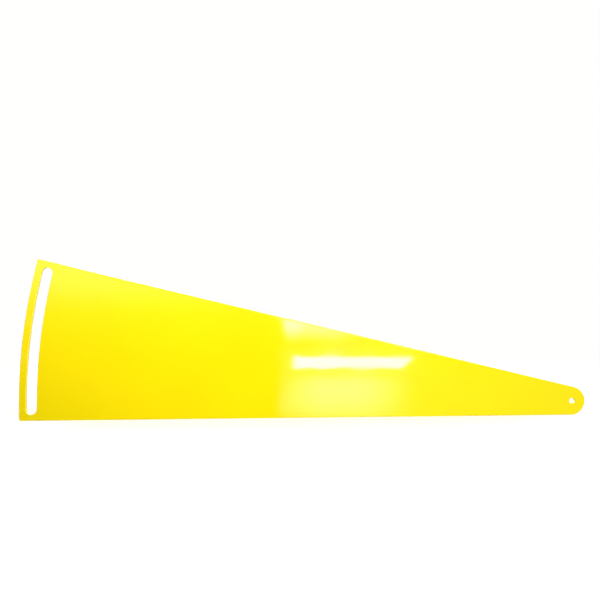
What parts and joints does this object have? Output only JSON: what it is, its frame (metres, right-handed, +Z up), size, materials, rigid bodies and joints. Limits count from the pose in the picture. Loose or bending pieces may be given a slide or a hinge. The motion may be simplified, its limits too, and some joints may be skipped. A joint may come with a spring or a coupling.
{
  "type": "slotted sector plate",
  "caption": "Long flat sector-shaped plate with a pivot hole at its rounded narrow end and a concentric arc slot beside its curved wide end, gloss yellow powder coat.",
  "frame": {"origin": "centre of the pivot hole, half way through the sheet", "axes": "Y along the pivot hole's axis, -Y out of the front face; -X from the pivot hole towards the wide end, parallel to the lower straight edge; +Z up, across the plate"},
  "size_m": [0.5728, 0.0036, 0.163],
  "materials": {
    "yellow_powder_coat": "gloss powder coat with a light orange peel over cut sheet metal"
  },
  "bodies": {
    "root": {"sector_plate": "yellow_powder_coat"}
  },
  "joints": []
}
